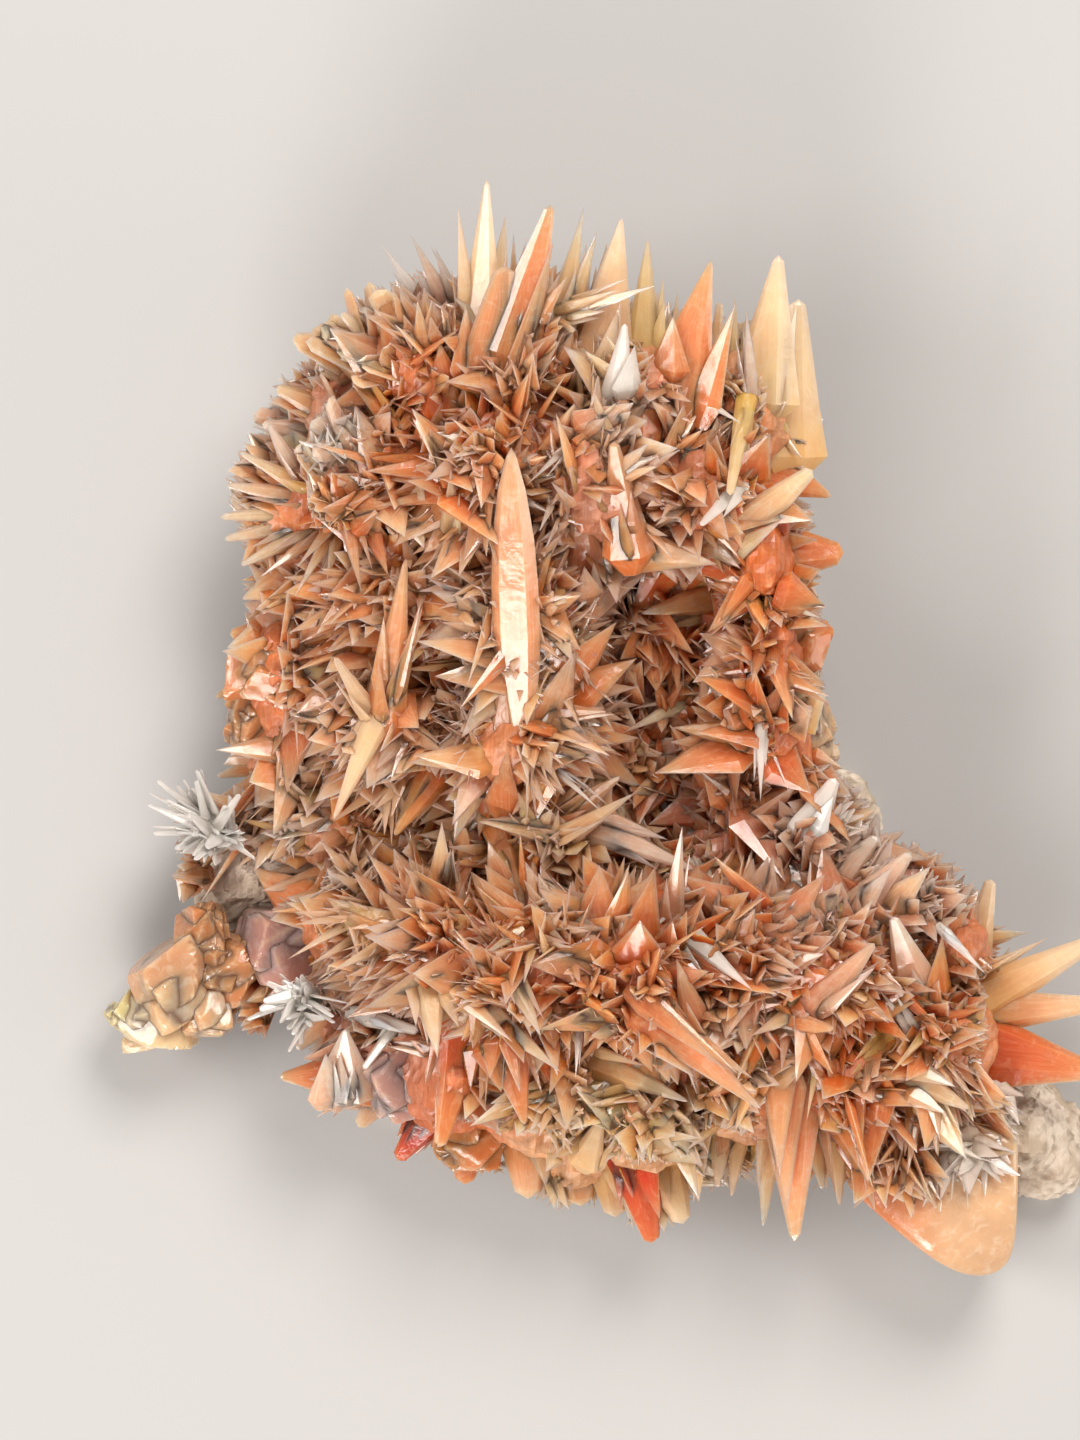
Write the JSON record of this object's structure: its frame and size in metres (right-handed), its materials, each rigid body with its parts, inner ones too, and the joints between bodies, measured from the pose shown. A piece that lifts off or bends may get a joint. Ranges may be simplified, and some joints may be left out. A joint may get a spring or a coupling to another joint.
{
  "type": "calcite needle cluster",
  "caption": "Cluster of orange calcite needles and dogteeth with colourless sprays, grown on grey-white rock with a flat sawn back.",
  "frame": {"origin": "on the plane of the flat sawn back, under the middle of the whole object's box", "axes": "+Z out of the sawn back towards the crystals, +Y along the longest side towards the rim of tall spires, +X towards the side with the blunt prongs"},
  "size_m": [0.1024, 0.109, 0.036],
  "materials": {
    "rock": "rough, pitted, grey-white",
    "orange_calcite": "glassy, see-through at thin tips, salmon-orange",
    "clear_calcite": "glassy, colourless"
  },
  "bodies": {
    "root": {"matrix": "rock", "calcite_cluster": "orange_calcite", "clear_spray_left": "clear_calcite", "clear_spray_low": "clear_calcite"}
  },
  "joints": []
}
